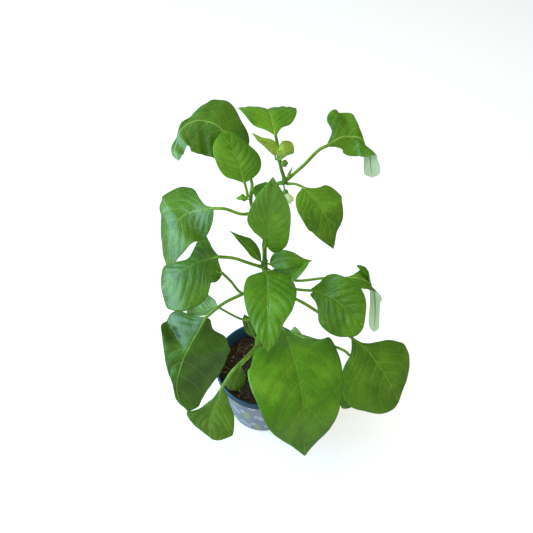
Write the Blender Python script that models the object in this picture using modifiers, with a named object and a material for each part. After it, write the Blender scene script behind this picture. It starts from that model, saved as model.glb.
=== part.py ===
"""Potted chilli pepper plant: a tapered plastic pot, compost, one forked stem and its leaves.

Origin: the middle of the pot's underside, standing on the floor; +Z up; the plant's front is -Y.
Sizes below are in millimetres and are turned into metres as each mesh is made.
"""

import math

import bmesh
import bpy
import numpy as np

MM = 0.001
GAP = 0.3               # clearance between neighbouring pieces

# pot: thin moulded wall, deep rolled rim band
POT_HEIGHT = 107.0
POT_FOOT_R = 46.0
POT_SHOULDER_R = 56.4   # wall just under the rim band
RIM_R = 60.0
RIM_DEPTH = 11.0
RIM_LIP = 2.8           # width of the rim's top
WALL = 1.8
FLOOR = 2.2
FOOT_BEVEL = 2.0
POT_STEPS = 40

# compost
SOIL_TOP = 89.0         # level at the stem
SOIL_EDGE_RISE = 1.5    # a little higher at the wall
STEM_SOCKET = 12.0      # how deep the stem sits in it
SOCKET_R = 4.3
SOCKET_FLOOR = SOIL_TOP - STEM_SOCKET

# stem: points up the main shoot and up the left fork, with the radius at each
STEM_FOOT_Z = SOCKET_FLOOR + GAP + 0.2
MAIN_STEM = [
    ((0, 0, STEM_FOOT_Z), 3.4), ((0, 0, 84), 3.4), ((0, 0, 91), 3.4), ((-4, 1, 122), 3.2),
    ((-5, 0, 153), 3.2),
    ((-2, 1, 185), 2.8), ((1, 1, 225), 2.6), ((2, 1, 262), 2.4), ((3, 0, 300), 2.4),
    ((3, 1, 334), 2.0), ((5, 6, 360), 1.8), ((9, 9, 386), 1.6), ((14, 6, 404), 1.6),
    ((20, 1, 412), 1.7), ((17, 1, 426), 1.4), ((15, 1, 437), 1.4), ((14, 2, 442), 0.9),
]
LEFT_FORK = [
    ((3, 1, 336), 1.4), ((-2, 4, 356), 1.4), ((-7, 3, 374), 1.3), ((-9, 1, 388), 1.3),
    ((-8, 3, 398), 1.0),
]
STEM_SIDES = 10
SIDE_BUDS = [((0.6, -2.4, 305.2), 1.9), ((5, -1.8, 310), 1.5), ((4.2, 2.6, 306), 1.5)]

BLADE_EDGE = 0.5        # blade thickness at the margin
BLADE_MID = 0.8         # half way out
BLADE_RIB = 1.9         # over the midrib

# Leaves. joint: where the stalk leaves the stem. stalk: on from there to the foot of the blade.
# rib: the midrib, foot to tip. across: from the midrib to the first margin, foot then tip.
# wide: half widths to the first and to the second margin. thick: radius of the stalk.
# The next four may differ between the two halves, and are then given as (first, second).
# broad: where along the rib the half is widest. foot, tip: fuller below 1, leaner above.
# lobe: how far the half sweeps back behind the foot.
# fold: degrees each half lifts. droop: how far the margins hang, as a share of the width.
# wave: height of the margin's waves, how many, and where they start.
PLAIN = dict(broad=0.38, foot=0.8, tip=1.4, lobe=0, fold=8, droop=0.15, wave=(1.2, 2, 0.2),
             thick=1.3)
LEAVES = {
    "leaf_front_large": dict(
        joint=(0, 0, 207), stalk=[(9, -13, 220), (22, -26, 225)],
        rib=[(22, -26, 225), (33, -60, 232), (38, -88, 231), (41, -113, 223), (42, -131, 201),
             (45, -142, 166)],
        across=[(-0.96, -0.19, 0.22)], wide=(53, 50), foot=(0.6, 0.5), tip=1.1, lobe=(0, 12),
        wave=(2.5, 2.5, 0.3), thick=1.8),
    "leaf_left_lower_large": dict(
        joint=(2, 1, 268), stalk=[(-21, -10, 265), (-39, -18, 261), (-58, -25, 246)],
        rib=[(-58, -25, 246), (-65, -38, 237), (-74, -52, 225), (-82, -62, 209), (-86, -76, 191),
             (-82, -90, 160)],
        across=[(-0.75, -0.1, 0.6)], wide=(34, 50), broad=(0.2, 0.5), foot=(0.5, 0.8),
        tip=(2.0, 0.9), lobe=(14, 0), fold=12, droop=0.2, wave=(2, 2.5, 0.1), thick=1.7),
    "leaf_right_lower": dict(
        joint=(2, 0, 261), stalk=[(18, -14, 270), (35, -24, 276), (62, -34, 262), (92, -42, 232)],
        rib=[(92, -42, 232), (107, -55, 232), (119, -70, 232), (131, -87, 224), (141, -104, 212),
             (143, -112, 202)],
        across=[(-0.72, -0.6, -0.1)], wide=(46, 28), broad=(0.56, 0.5), foot=(0.65, 0.8),
        tip=0.9, fold=4, thick=1.6),
    "leaf_right_middle": dict(
        joint=(2, 0, 272), stalk=[(18, -8, 279), (36, -13, 278), (51, -16, 279)],
        rib=[(51, -16, 279), (62, -25, 284), (74, -34, 284), (86, -44, 280), (98, -54, 268)],
        across=[(-0.63, -0.51, -0.56)], wide=(31, 28), broad=(0.62, 0.42), foot=(0.9, 0.55),
        tip=0.95, fold=4, thick=1.4),
    "leaf_right_behind": dict(
        joint=(2, 2, 266), stalk=[(20, 8, 270), (38, 8, 265), (61, 10, 270)],
        rib=[(61, 10, 270), (84, 10, 270), (104, 8, 266), (115, 0, 252), (120, -9, 233),
             (124, -20, 211)],
        across=[(-0.1, -0.9, -0.3), (0.4, -0.8, -0.1)], wide=(16, 26), broad=(0.5, 0.62),
        foot=(0.8, 1.4), tip=1.2, thick=1.4),
    "leaf_right_under": dict(
        joint=(-3, 0, 176), stalk=[(30, -14, 199), (83, -36, 202), (98, -42, 193)],
        rib=[(98, -42, 193), (110, -52, 182), (124, -64, 163), (134, -74, 143)],
        across=[(-0.7, -0.65, 0.1)], wide=(32, 26), broad=(0.6, 0.4), thick=1.5),
    "leaf_left_low": dict(
        joint=(-5, 0, 152), stalk=[(-19, -26, 163), (-35, -40, 155), (-47, -50, 143)],
        rib=[(-47, -50, 143), (-50, -60, 130), (-55, -72, 118), (-58, -84, 104), (-56, -92, 88)],
        across=[(-0.9, 0.18, 0.19)], wide=(30, 27), broad=(0.6, 0.66), foot=1.0,
        tip=(0.9, 0.7), thick=2.0),
    "leaf_over_pot": dict(
        joint=(-5, 0, 146), stalk=[(-15, -15, 146), (-24, -24, 138)],
        rib=[(-24, -24, 138), (-30, -31, 129), (-38, -40, 113)],
        across=[(-0.8, -0.26, 0.54)], wide=(12, 12), broad=0.5, thick=0.9),
    "leaf_small_upright": dict(
        joint=(-5, 0, 158), stalk=[(-10, 6, 159)],
        rib=[(-10, 6, 159), (-15, 9, 172), (-21, 12, 197)],
        across=[(0.9, 0.3, 0.15)], wide=(6, 6), broad=0.5, fold=15, thick=0.9),
    "leaf_centre_front": dict(
        joint=(3, 0, 297), stalk=[(5, -9, 302)],
        rib=[(5, -9, 302), (6, -28, 300), (6, -46, 296), (6, -60, 285), (6, -70, 274),
             (6, -76, 263)],
        across=[(-0.98, 0.04, -0.1)], wide=(25, 29), broad=0.36, foot=0.6, tip=1.5, thick=1.4),
    "leaf_left_middle": dict(
        joint=(3, 0, 299), stalk=[(-13, -2, 307), (-27, -1, 313), (-40, 0, 314)],
        rib=[(-40, 0, 314), (-54, -3, 311), (-70, -8, 305), (-84, -14, 298), (-98, -20, 288)],
        across=[(-0.34, 0.92, 0.14)], wide=(31, 50), broad=(0.17, 0.6), foot=(0.7, 0.6),
        tip=(1.8, 0.65), wave=(2, 1.5, 0.1), thick=1.6),
    "leaf_left_behind": dict(
        joint=(1, 1, 248), stalk=[(-22, 8, 243), (-33, 9, 263), (-45, 8, 280)],
        rib=[(-45, 8, 280), (-60, 8, 277), (-73, 6, 267), (-83, 3, 252)],
        across=[(-0.2, 0.95, 0.1)], wide=(13, 14), thick=1.5),
    "leaf_left_pale": dict(
        joint=(-1, 1, 204), stalk=[(-23, 4, 198), (-46, 4, 219)],
        rib=[(-46, 4, 219), (-62, 7, 226), (-82, 8, 224)],
        across=[(-0.2, 0.9, 0.3)], wide=(12, 12), thick=1.3),
    "leaf_left_upper": dict(
        joint=(-8, 2, 373), stalk=[(-19, -2, 376), (-31, -1, 381), (-42, 0, 381)],
        rib=[(-42, 0, 381), (-57, 3, 376), (-71, 2, 369), (-81, -6, 362), (-86, -16, 351),
             (-86, -30, 341)],
        across=[(-0.3, 0.92, 0.2)], wide=(24, 33), broad=(0.45, 0.33), foot=(1.2, 0.6),
        tip=1.1, thick=1.4),
    "leaf_left_sprig": dict(
        joint=(-9, 1, 391), stalk=[(-11.5, 0.5, 392)],
        rib=[(-11.5, 0.5, 392), (-16, 0, 394), (-22, -1, 394)],
        across=[(-0.1, 0.9, 0.4)], wide=(3.2, 3.2), thick=0.6),
    "leaf_centre_upper": dict(
        joint=(3, 1, 331), stalk=[(4, -5, 336)],
        rib=[(4, -5, 336), (5, -10, 362), (7, -13, 390), (9, -12, 409), (11, -6, 424)],
        across=[(1.0, 0.09, -0.03)], wide=(20, 19), broad=(0.4, 0.5), foot=(0.4, 0.9), tip=1.2,
        lobe=(26, 0), thick=1.3),
    "leaf_centre_behind": dict(
        joint=(-3, 4, 358), stalk=[(0, 9, 363)],
        rib=[(0, 9, 363), (2, 14, 378), (4, 18, 395)],
        across=[(0.95, 0.1, 0.0)], wide=(10, 10), thick=0.9),
    "leaf_top_young": dict(
        joint=(-9, 2, 394), stalk=[(-12, 2, 399), (-14, 5, 407)],
        rib=[(-14, 5, 407), (-18, 10, 420), (-24, 15, 435), (-30, 18, 446), (-33, 20, 453)],
        across=[(0.85, 0.35, -0.1)], wide=(23, 20), broad=0.36, foot=0.7, tip=1.4, fold=6,
        thick=1.2),
    "leaf_top_left": dict(
        joint=(-8, 3, 397), stalk=[(-7, 8, 403), (-9, 14, 410)],
        rib=[(-9, 14, 410), (-19, 28, 424), (-30, 42, 432), (-42, 50, 438), (-54, 50, 440),
             (-66, 44, 438), (-70, 32, 430), (-71, 20, 419)],
        across=[(0.5, 0.7, 0.5), (0.08, 0.79, 0.6)], wide=(20, 28), broad=(0.34, 0.4),
        foot=0.6, tip=(2.8, 2.2), thick=1.4),
    "leaf_top_back": dict(
        joint=(15, 1, 437.5), stalk=[(14, 7, 445), (12, 8, 454)],
        rib=[(12, 8, 454), (10, 24, 457), (8, 42, 453), (6, 58, 441), (5, 70, 424)],
        across=[(0.98, 0.13, -0.08)], wide=(26, 30), broad=0.42, foot=0.8, tip=1.3, thick=1.2),
    "leaf_top_right": dict(
        joint=(20, 1, 413.5), stalk=[(36, 10, 422), (48, 17, 432), (55, 20, 436)],
        rib=[(55, 20, 436), (65, 24, 443), (73, 21, 445), (81, 12, 443), (87, 3, 440),
             (87.5, -3, 433), (86, -5, 422)],
        across=[(-0.24, -0.38, -0.83), (0.75, -0.5, -0.2)], wide=(22, 25), broad=(0.36, 0.14),
        foot=(0.7, 0.8), tip=(0.55, 3.2), thick=1.4),
    "leaf_right_upper": dict(
        joint=(20, 1, 411), stalk=[(29, -2, 412), (35, -3, 411)],
        rib=[(35, -3, 411), (42, -14, 407), (49, -26, 400), (55, -37, 391), (62, -45, 379)],
        across=[(-0.85, -0.52, 0.08)], wide=(19, 23), broad=0.38, foot=0.55, tip=1.4, thick=1.1),
    "leaf_centre_narrow": dict(
        joint=(3, 0, 304.2), stalk=[(-4, 4, 312)],
        rib=[(-4, 4, 312), (-13, 6, 324), (-22, 7, 335), (-30, 9, 342)],
        across=[(0.59, 0.74, 0.33)], wide=(7, 7), broad=0.4, fold=25, thick=0.9),
    "leaf_centre_right": dict(
        joint=(3, 0, 304.5), stalk=[(9, -2, 306)],
        rib=[(9, -2, 306), (21, -3, 314), (35, -4, 316), (49, -5, 314)],
        across=[(0.0, -0.8, -0.6)], wide=(10, 10), broad=0.4, thick=0.9),
    "leaf_centre_right_low": dict(
        joint=(3, 0, 295.5), stalk=[(11, -1, 297)],
        rib=[(11, -1, 297), (25, -5, 302), (38, -9, 303), (47, -10, 304)],
        across=[(-0.4, -0.8, -0.4)], wide=(14, 10), broad=0.5, thick=1.0),
    "leaf_right_low_pale": dict(
        joint=(-5, 0, 163), stalk=[(8, -2, 168)],
        rib=[(8, -2, 168), (28, -4, 186), (40, -6, 199)],
        across=[(0.6, -0.5, -0.6)], wide=(9, 9), thick=1.0),
    "leaf_bud_folded": dict(
        joint=(15, 1, 436.5), stalk=[(12, 1, 440)],
        rib=[(12, 1, 440), (6, 2, 448), (-1, 3, 454), (-7, 5, 460)],
        across=[(0.6, 0.6, 0.4)], wide=(4.5, 4.5), fold=30, thick=0.7),
    "leaf_bud_curled": dict(
        joint=(15, 1, 441), stalk=[(18, -2, 443)],
        rib=[(18, -2, 443), (20, -5, 448), (20, -6, 454), (18, -3, 459)],
        across=[(1, 0.1, 0)], wide=(6, 6), broad=0.5, foot=0.6, tip=1.0, fold=-20, thick=0.7),
    "leaf_awl": dict(
        joint=(18.5, 1, 419), stalk=[(20.5, 4, 419)],
        rib=[(20.5, 4, 419), (22.5, 6, 422), (24, 6, 428)],
        across=[(1, 0, 0)], wide=(1.6, 1.6), fold=10, thick=0.6),
}
BLADE_STOPS = [0.03, 0.08, 0.14, 0.22, 0.31, 0.41, 0.52, 0.63, 0.74, 0.84, 0.93, 1.0]
SMALL_STOPS = [0.05, 0.12, 0.22, 0.38, 0.56, 0.76, 0.9, 1.0]
SMALL = 15              # blades narrower than this to each side take the shorter list

# buds and flower: centre line and radius at each point
TOP_BUD_JOINT = (16, 1, 433)
TOP_BUD = [((17.9, -1.4, 434.8), 0.9), ((18.6, -2.6, 435.4), 2.4), ((19.6, -4, 436), 2.9),
           ((20.4, -5.4, 436.4), 1.6)]
FLOWER_JOINT = (18.5, 2, 410)
FLOWER_CUP = [((20, -2.8, 407), 0.8), ((20.6, -3.6, 405.4), 2.2), ((21, -4.2, 404), 2.4)]
FLOWER_PETALS = [((21.2, -4.5, 403.4), 2.2), ((22.2, -5.2, 401), 3.2), ((23.8, -6, 397.8), 2.4),
                 ((25, -6.6, 395), 0.5)]


def vec(v):
    return np.array(v, float)


def unit(v):
    return v / np.linalg.norm(v)


def smooth(points, fractions):
    """Points on a smooth curve through the given points, at fractions of its length."""
    pts = [vec(p) for p in points]
    pts = [2 * pts[0] - pts[1]] + pts + [2 * pts[-1] - pts[-2]]
    fine = []
    for i in range(1, len(pts) - 2):
        a, b, c, d = pts[i - 1:i + 3]
        for k in range(12):
            t = k / 12
            fine.append(b + 0.5 * t * (c - a) + t * t * (a - 2.5 * b + 2 * c - 0.5 * d)
                        + t ** 3 * (1.5 * b - 1.5 * c + 0.5 * d - 0.5 * a))
    fine = np.array(fine + [pts[-2]])
    run = np.r_[0, np.cumsum(np.linalg.norm(np.diff(fine, axis=0), axis=1))]
    want = np.asarray(fractions) * run[-1]
    return np.stack([np.interp(want, run, fine[:, k]) for k in range(fine.shape[1])], 1)


def along(path):
    """Unit direction of a run of points at each of them."""
    return np.array([unit(v) for v in np.gradient(path, axis=0)])


def stem_lines():
    """The two shoots as fine runs of (x, y, z, radius)."""
    return [smooth([(*p, r) for p, r in shoot], np.linspace(0, 1, 140))
            for shoot in (MAIN_STEM, LEFT_FORK)]


def stem_exit(joint, towards):
    """Where a stalk starts, just off the stem beside `joint`, and the way it leaves."""
    line = min(stem_lines(), key=lambda s: np.min(np.linalg.norm(s[:, :3] - joint, axis=1)))
    i = int(np.argmin(np.linalg.norm(line[:, :3] - joint, axis=1)))
    axis = along(line[:, :3])[i]
    out = vec(towards) - line[i, :3]
    out = unit(out - axis * (out @ axis))
    return line[i, :3] + out * (line[i, 3] + GAP), out


def blade_width(t, broad, foot, tip):
    """Share of the full half width at fraction t of the midrib."""
    if t < broad:
        return max(0.0, 1 - (1 - t / broad) ** 2) ** foot
    x = (t - broad) / (1 - broad)
    return max(0.0, 1 - x) ** tip * (1 + tip * x)


def leaf_rings(leaf):
    """Rings of ten points from the foot of the stalk to the tip of the blade."""
    leaf = {**PLAIN, **leaf}
    halves = {key: leaf[key] if isinstance(leaf[key], tuple) else (leaf[key], leaf[key])
              for key in ("broad", "foot", "tip", "lobe")}
    start, out = stem_exit(vec(leaf["joint"]), leaf["stalk"][0])
    stalk_pts = [start, start + out * 1.2] + [vec(p) for p in leaf["stalk"]]
    length = sum(np.linalg.norm(b - a) for a, b in zip(stalk_pts, stalk_pts[1:]))
    stops = max(3, min(6, int(length / 12) + 2))
    stalk = smooth(stalk_pts, np.linspace(0, 1, stops + 1))[:-1]
    stalk[1] = start + out * 1.2 if length > 12 else stalk[1]
    blade_stops = BLADE_STOPS if max(leaf["wide"]) > SMALL else SMALL_STOPS
    rib = smooth(leaf["rib"], blade_stops)
    path = np.vstack([stalk, rib])
    heading = along(path)
    heading[0] = out
    across = [vec(v) for v in leaf["across"]]
    rings = []
    for i, (p, t3) in enumerate(zip(path, heading)):
        t = blade_stops[i - len(stalk)] if i >= len(stalk) else 0.0
        side = across[0] * (1 - t) + across[-1] * t
        side = unit(side - t3 * (side @ t3))
        up = unit(np.cross(side, t3))
        r = leaf["thick"] * (1.25 if i == 0 else 1.0)
        blend = min(1.0, t / 0.12)
        blend = blend * blend * (3 - 2 * blend)
        shares = [blade_width(t, *(halves[key][h] for key in ("broad", "foot", "tip")))
                  for h in (0, 1)]
        ring = []
        for k in range(10):
            a = math.radians(18 + 36 * k)
            stem_pt = r * (math.cos(a) * side + math.sin(a) * up)
            u = (1, 0.5, 0, -0.5, -1)[k if k < 5 else 9 - k]
            half = 0 if u > 0 else 1
            share = shares[half]
            w = max(0.35, leaf["wide"][half] * share)
            tilt = math.radians(leaf["fold"])
            height, count, begin = leaf["wave"]
            ripple = height * abs(u) ** 1.5 * share * math.sin(
                2 * math.pi * (count * t + begin) + (0.9 if u > 0 else 0))
            lift = abs(u) * w * math.sin(tilt) - leaf["droop"] * w * u * u + ripple
            slab = {0: BLADE_RIB, 0.5: BLADE_MID, 1: BLADE_EDGE}[abs(u)]
            slab = min(slab, 0.5 + 0.06 * max(leaf["wide"]))
            if t == 1.0:
                slab = BLADE_EDGE
            skin = 0.25 if k < 5 else 0.25 - slab
            back = halves["lobe"][half] * abs(u) ** 1.5 * (1 - t) ** 4
            blade_pt = side * (u * w * math.cos(tilt)) + up * (lift + skin) - t3 * back
            ring.append(p + stem_pt * (1 - blend) + blade_pt * blend)
        rings.append(ring)
    return rings


def mesh_object(name, verts, faces, material):
    mesh = bpy.data.meshes.new(name)
    mesh.from_pydata([tuple(vec(v) * MM) for v in verts], [], faces)
    mesh.update()
    obj = bpy.data.objects.new(name, mesh)
    plant.objects.link(obj)
    mesh.materials.append(material)
    bm = bmesh.new()
    bm.from_mesh(mesh)
    bmesh.ops.recalc_face_normals(bm, faces=bm.faces[:])
    bm.to_mesh(mesh)
    bm.free()
    return obj


def loft(name, rings, material):
    """A closed solid through rings of equally many points."""
    n = len(rings[0])
    verts = [p for ring in rings for p in ring]
    faces = [tuple(range(n)), tuple(range(len(verts) - n, len(verts)))]
    for i in range(len(rings) - 1):
        for k in range(n):
            faces.append((i * n + k, i * n + (k + 1) % n,
                          (i + 1) * n + (k + 1) % n, (i + 1) * n + k))
    return mesh_object(name, verts, faces, material)


def round_rings(line, sides):
    """Circles of `sides` points along a run of (x, y, z, radius)."""
    heading = along(line[:, :3])
    side = unit(np.cross(heading[0], vec((0, 1, 0.01))))
    rings = []
    for (x, y, z, r), t3 in zip(line, heading):
        side = unit(side - t3 * (side @ t3))
        up = np.cross(t3, side)
        rings.append([vec((x, y, z)) + r * (math.cos(a) * side + math.sin(a) * up)
                      for a in np.linspace(0, 2 * math.pi, sides, endpoint=False)])
    return rings


def turned(name, profile, material):
    """A profile of (radius, height) spun about the upright axis."""
    mesh = bpy.data.meshes.new(name)
    mesh.from_pydata([(r * MM, 0, z * MM) for r, z in profile],
                     [(i, i + 1) for i in range(len(profile) - 1)], [])
    obj = bpy.data.objects.new(name, mesh)
    plant.objects.link(obj)
    spin = obj.modifiers.new("spin", "SCREW")
    spin.steps = spin.render_steps = POT_STEPS
    spin.use_merge_vertices = True
    spin.merge_threshold = 1e-5
    obj.data.materials.append(material)
    return obj


def unite(obj, other):
    """Adds another solid to obj; the other stays hidden among the makings."""
    plant.objects.unlink(other)
    makings.objects.link(other)
    other.hide_render = True
    join = obj.modifiers.new("join_" + other.name, "BOOLEAN")
    join.operation = "UNION"
    join.solver = "EXACT"
    join.object = other


def material(name, colour, roughness):
    mat = bpy.data.materials.new(name)
    mat.use_nodes = True
    shader = mat.node_tree.nodes["Principled BSDF"]
    shader.inputs["Base Color"].default_value = (*colour, 1)
    shader.inputs["Roughness"].default_value = roughness
    return mat


# ---- build
for old in list(bpy.data.objects):
    bpy.data.objects.remove(old, do_unlink=True)
plant = bpy.data.collections.new("potted_chilli_plant")
makings = bpy.data.collections.new("makings")
makings.hide_render = True
bpy.context.scene.collection.children.link(plant)
bpy.context.scene.collection.children.link(makings)

band_foot = POT_HEIGHT - RIM_DEPTH
inner_top = RIM_R - RIM_LIP
inner_shoulder = POT_SHOULDER_R - WALL
turned("pot", [
    (0, FLOOR), (POT_FOOT_R - WALL, FLOOR), (inner_shoulder, band_foot), (inner_top, POT_HEIGHT - 1),
    (inner_top + 0.6, POT_HEIGHT), (RIM_R - 0.8, POT_HEIGHT), (RIM_R, POT_HEIGHT - 0.9),
    (RIM_R - 0.6, band_foot + 0.6), (RIM_R - 1.2, band_foot), (POT_SHOULDER_R, band_foot),
    (POT_FOOT_R, FOOT_BEVEL), (POT_FOOT_R - FOOT_BEVEL, 0), (0, 0)],
    material("pot_plastic", (0.32, 0.38, 0.55), 0.35))


def inside(z):
    """Radius of the pot's inner wall at height z, below the rim band."""
    share = (z - FLOOR) / (band_foot - FLOOR)
    return POT_FOOT_R - WALL + share * (inner_shoulder - POT_FOOT_R + WALL)


clear = GAP + 0.15      # the spun wall is flat between its steps
foot = FLOOR + GAP
turned("soil", [
    (0, SOCKET_FLOOR), (SOCKET_R, SOCKET_FLOOR), (SOCKET_R, SOIL_TOP),
    (18, SOIL_TOP - 1), (38, SOIL_TOP - 0.5),
    (inside(SOIL_TOP + SOIL_EDGE_RISE) - clear, SOIL_TOP + SOIL_EDGE_RISE),
    (inside(foot) - clear, foot), (0, foot)],
    material("compost", (0.05, 0.03, 0.02), 0.95))

green = material("stem_green", (0.16, 0.3, 0.05), 0.5)
blade_green = material("leaf_green", (0.08, 0.26, 0.03), 0.4)
main, left = stem_lines()
stem = loft("stem", round_rings(main[[*range(0, 108, 8), *range(108, 139, 3), 139]], STEM_SIDES),
            green)
unite(stem, loft("left_fork", round_rings(left[[*range(0, 139, 15), 139]], STEM_SIDES), green))
for number, (centre, r) in enumerate(SIDE_BUDS):
    rise = [(-1, 0.3), (-0.7, 0.75), (0, 1), (0.7, 0.75), (1.15, 0.25)]
    line = np.array([(*(vec(centre) + vec((0, 0, s * r))), q * r) for s, q in rise])
    unite(stem, loft(f"side_bud_{number}", round_rings(line, 8), green))

for name, leaf in LEAVES.items():
    loft(name, leaf_rings(leaf), blade_green)

petal = material("petal_white", (0.75, 0.85, 0.62), 0.5)
for name, joint, line, mat in (("bud_top", TOP_BUD_JOINT, TOP_BUD, green),
                               ("flower_cup", FLOWER_JOINT, FLOWER_CUP, green),
                               ("flower_petals", None, FLOWER_PETALS, petal)):
    line = [(*p, r) for p, r in line]
    if joint:
        start, out = stem_exit(vec(joint), line[0][:3])
        line = [(*start, line[0][3]), (*(start + out * 0.8), line[0][3])] + line
    loft(name, round_rings(np.array(line), 8), mat)
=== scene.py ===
"""Potted chilli pepper plant: the looks of the pot, the compost, the stem and every leaf.

Lengths are in millimetres and are turned into metres as each mesh is made. The origin is the
middle of the pot's underside, +Z is up and the plant's front is -Y, as in the solid model.
"""

import functools
import math

import bmesh
import bpy
import numpy as np
from mathutils import Matrix, Vector, noise


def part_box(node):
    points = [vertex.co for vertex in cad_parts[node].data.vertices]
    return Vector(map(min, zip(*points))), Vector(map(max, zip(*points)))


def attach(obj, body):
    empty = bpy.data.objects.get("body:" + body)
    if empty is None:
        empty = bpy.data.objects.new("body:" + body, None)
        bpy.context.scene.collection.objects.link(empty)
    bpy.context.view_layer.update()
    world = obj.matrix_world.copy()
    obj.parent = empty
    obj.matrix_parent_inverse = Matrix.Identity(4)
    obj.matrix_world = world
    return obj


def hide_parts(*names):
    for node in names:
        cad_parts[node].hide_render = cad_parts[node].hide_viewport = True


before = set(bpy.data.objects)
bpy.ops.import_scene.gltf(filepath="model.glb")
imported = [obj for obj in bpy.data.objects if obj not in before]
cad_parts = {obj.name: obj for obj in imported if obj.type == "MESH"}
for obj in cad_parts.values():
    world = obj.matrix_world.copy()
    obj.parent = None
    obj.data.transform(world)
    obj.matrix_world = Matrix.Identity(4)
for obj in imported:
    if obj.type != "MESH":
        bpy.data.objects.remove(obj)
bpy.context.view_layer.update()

MM = 0.001

# pot
POT_HEIGHT = 107.0
POT_FOOT_R = 46.0
POT_SHOULDER_R = 56.4   # wall just under the rim band
RIM_R = 60.0
RIM_DEPTH = 11.0
RIM_LIP = 2.8
WALL = 1.8
FLOOR = 2.2
FOOT_BEVEL = 2.0
BAND_FOOT = POT_HEIGHT - RIM_DEPTH

# compost
SOIL_TOP = 89.0
STEM_FOOT_Z = 77.5

# stem: points up the main shoot and up the left fork, with the radius at each
MAIN_STEM = [
    ((0, 0, STEM_FOOT_Z), 3.4), ((0, 0, 84), 3.4), ((0, 0, 91), 3.4), ((-4, 1, 122), 3.2),
    ((-5, 0, 153), 3.2),
    ((-2, 1, 185), 2.8), ((1, 1, 225), 2.6), ((2, 1, 262), 2.4), ((3, 0, 300), 2.4),
    ((3, 1, 334), 2.0), ((5, 6, 360), 1.8), ((9, 9, 386), 1.6), ((14, 6, 404), 1.6),
    ((20, 1, 412), 1.7), ((17, 1, 426), 1.4), ((15, 1, 437), 1.4), ((14, 2, 442), 0.9),
]
LEFT_FORK = [
    ((3, 1, 336), 1.4), ((-2, 4, 356), 1.4), ((-7, 3, 374), 1.3), ((-9, 1, 388), 1.3),
    ((-8, 3, 398), 1.0),
]
MAIN_ROWS, FORK_ROWS = 420, 110
SIDE_BUDS = [((0.6, -2.4, 305.2), 1.9), ((5, -1.8, 310), 1.5), ((4.2, 2.6, 306), 1.5)]

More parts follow.
